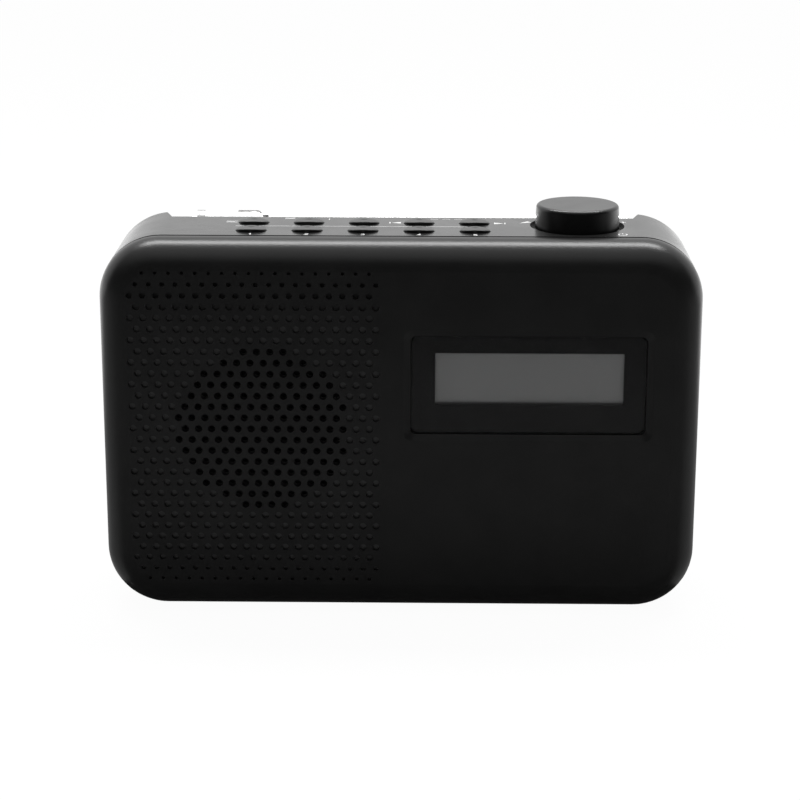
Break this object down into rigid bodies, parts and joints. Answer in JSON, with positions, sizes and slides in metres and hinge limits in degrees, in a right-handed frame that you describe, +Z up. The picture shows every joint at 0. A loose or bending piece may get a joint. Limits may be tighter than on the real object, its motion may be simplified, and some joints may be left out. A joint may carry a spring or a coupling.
{
  "type": "tabletop radio",
  "caption": "Low, wide black portable radio: perforated grille left of a display window, oval push buttons and a knob on the deck, and a telescopic antenna folded into a rear trough.",
  "frame": {"origin": "on the table, under the middle of the case", "axes": "+X to the right seen from the front, +Y from the front face towards the back, +Z up"},
  "size_m": [0.185, 0.055, 0.1266],
  "materials": {
    "case_plastic": "fine moulded texture, black",
    "button_plastic": "smooth black with a dished top",
    "knob_plastic": "turned-looking black top, smooth side",
    "window_clear": "clear, polished",
    "mask_film": "printed black film",
    "display_glass": "grey, switched-off display",
    "bright_metal": "plated, mirror bright",
    "plated_steel": "zinc plated, slightly dull",
    "dark_screw": "black oxide",
    "board_laminate": "green solder mask",
    "soft_rubber": "soft, matte black",
    "cone_paper": "pressed fibre, dark",
    "coil_copper": "wound copper wire",
    "magnet_ferrite": "dark grey ferrite",
    "part_plastic": "moulded dark grey",
    "capacitor_sleeve": "shrunk sleeve, dark blue",
    "cell_sleeve": "plain grey sleeve",
    "ribbon_film": "pale grey flat cable",
    "wire_sleeve": "red insulation"
  },
  "bodies": {
    "case": {"front_shell": "case_plastic", "rear_shell": "case_plastic", "display_window": "window_clear", "window_mask": "mask_film", "lcd_glass": "display_glass", "antenna_bracket": "plated_steel", "antenna_screw": "plated_steel", "speaker_frame": "plated_steel", "speaker_top_plate": "plated_steel", "speaker_yoke": "plated_steel", "tuner_shield": "plated_steel", "battery_contacts": "plated_steel", "lcd_bezel": "plated_steel", "case_screws": "dark_screw", "lcd_screws": "dark_screw", "speaker_screws": "dark_screw", "control_board_screws": "dark_screw", "board_screws": "dark_screw", "lcd_board": "board_laminate", "control_board": "board_laminate", "main_board": "board_laminate", "rubber_feet": "soft_rubber", "speaker_surround": "soft_rubber", "speaker_gasket": "soft_rubber", "speaker_magnet": "magnet_ferrite", "button_switches": "part_plastic", "encoder_body": "part_plastic", "headphone_socket": "part_plastic", "power_socket": "part_plastic", "board_capacitors": "capacitor_sleeve", "battery_cells": "cell_sleeve", "ribbon_cables": "ribbon_film", "hookup_wires": "wire_sleeve"},
    "preset_button_1_body": {"preset_button_1": "button_plastic"},
    "preset_button_2_body": {"preset_button_2": "button_plastic"},
    "preset_button_3_body": {"preset_button_3": "button_plastic"},
    "preset_button_4_body": {"preset_button_4": "button_plastic"},
    "preset_button_5_body": {"preset_button_5": "button_plastic"},
    "source_button_body": {"source_button": "button_plastic"},
    "menu_button_body": {"menu_button": "button_plastic"},
    "info_button_body": {"info_button": "button_plastic"},
    "previous_button_body": {"previous_button": "button_plastic"},
    "next_button_body": {"next_button": "button_plastic"},
    "knob_press": {"encoder_plunger": "part_plastic"},
    "knob": {"volume_knob": "knob_plastic", "encoder_shaft": "plated_steel"},
    "cone": {"speaker_cone": "cone_paper", "voice_coil": "coil_copper", "dust_cap": "cone_paper"},
    "antenna_base": {"antenna_swivel": "bright_metal", "antenna_clip": "plated_steel", "antenna_pin": "plated_steel"},
    "antenna_arm": {"antenna_knuckle": "bright_metal", "antenna_tube_1": "bright_metal"},
    "antenna_section_2": {"antenna_tube_2": "bright_metal"},
    "antenna_section_3": {"antenna_tube_3": "bright_metal"},
    "antenna_section_4": {"antenna_tube_4": "bright_metal"},
    "antenna_section_5": {"antenna_tube_5": "bright_metal", "antenna_tip": "bright_metal"},
    "door": {"battery_door": "case_plastic"}
  },
  "joints": [
    {"name": "preset_button_1_push", "type": "slide", "parent": "case", "child": "preset_button_1_body", "axis": [0, 0, -1], "range_m": [0, 0.0006], "stiffness_N_per_m": 1500},
    {"name": "preset_button_2_push", "type": "slide", "parent": "case", "child": "preset_button_2_body", "axis": [0, 0, -1], "range_m": [0, 0.0006], "stiffness_N_per_m": 1500},
    {"name": "preset_button_3_push", "type": "slide", "parent": "case", "child": "preset_button_3_body", "axis": [0, 0, -1], "range_m": [0, 0.0006], "stiffness_N_per_m": 1500},
    {"name": "preset_button_4_push", "type": "slide", "parent": "case", "child": "preset_button_4_body", "axis": [0, 0, -1], "range_m": [0, 0.0006], "stiffness_N_per_m": 1500},
    {"name": "preset_button_5_push", "type": "slide", "parent": "case", "child": "preset_button_5_body", "axis": [0, 0, -1], "range_m": [0, 0.0006], "stiffness_N_per_m": 1500},
    {"name": "source_button_push", "type": "slide", "parent": "case", "child": "source_button_body", "axis": [0, 0, -1], "range_m": [0, 0.0006], "stiffness_N_per_m": 1500},
    {"name": "menu_button_push", "type": "slide", "parent": "case", "child": "menu_button_body", "axis": [0, 0, -1], "range_m": [0, 0.0006], "stiffness_N_per_m": 1500},
    {"name": "info_button_push", "type": "slide", "parent": "case", "child": "info_button_body", "axis": [0, 0, -1], "range_m": [0, 0.0006], "stiffness_N_per_m": 1500},
    {"name": "previous_button_push", "type": "slide", "parent": "case", "child": "previous_button_body", "axis": [0, 0, -1], "range_m": [0, 0.0006], "stiffness_N_per_m": 1500},
    {"name": "next_button_push", "type": "slide", "parent": "case", "child": "next_button_body", "axis": [0, 0, -1], "range_m": [0, 0.0006], "stiffness_N_per_m": 1500},
    {"name": "knob_push", "type": "slide", "parent": "case", "child": "knob_press", "axis": [0, 0, -1], "range_m": [0, 0.0005], "stiffness_N_per_m": 4000},
    {"name": "knob_turn", "type": "hinge", "parent": "knob_press", "child": "knob", "pos_m": [0.05475, -0.0001, 0.1197], "axis": [0, 0, 1], "continuous": true},
    {"name": "cone_travel", "type": "slide", "parent": "case", "child": "cone", "axis": [0, -1, 0], "range_m": [-0.001, 0.001], "stiffness_N_per_m": 1500},
    {"name": "antenna_swivel_turn", "type": "hinge", "parent": "case", "child": "antenna_base", "pos_m": [-0.0603, 0.0225, 0.1155], "axis": [-1, 0, 0], "range_deg": [-30, 90]},
    {"name": "antenna_fold", "type": "hinge", "parent": "antenna_base", "child": "antenna_arm", "pos_m": [-0.048, 0.0225, 0.1155], "axis": [0, -1, 0], "range_deg": [0, 90]},
    {"name": "antenna_slide_2", "type": "slide", "parent": "antenna_arm", "child": "antenna_section_2", "axis": [1, 0, 0], "range_m": [0, 0.088]},
    {"name": "antenna_slide_3", "type": "slide", "parent": "antenna_section_2", "child": "antenna_section_3", "axis": [1, 0, 0], "range_m": [0, 0.088]},
    {"name": "antenna_slide_4", "type": "slide", "parent": "antenna_section_3", "child": "antenna_section_4", "axis": [1, 0, 0], "range_m": [0, 0.088]},
    {"name": "antenna_slide_5", "type": "slide", "parent": "antenna_section_4", "child": "antenna_section_5", "axis": [1, 0, 0], "range_m": [0, 0.088]},
    {"name": "door_release", "type": "slide", "parent": "case", "child": "door", "axis": [0, 1, 0], "range_m": [0, 0.03]}
  ]
}
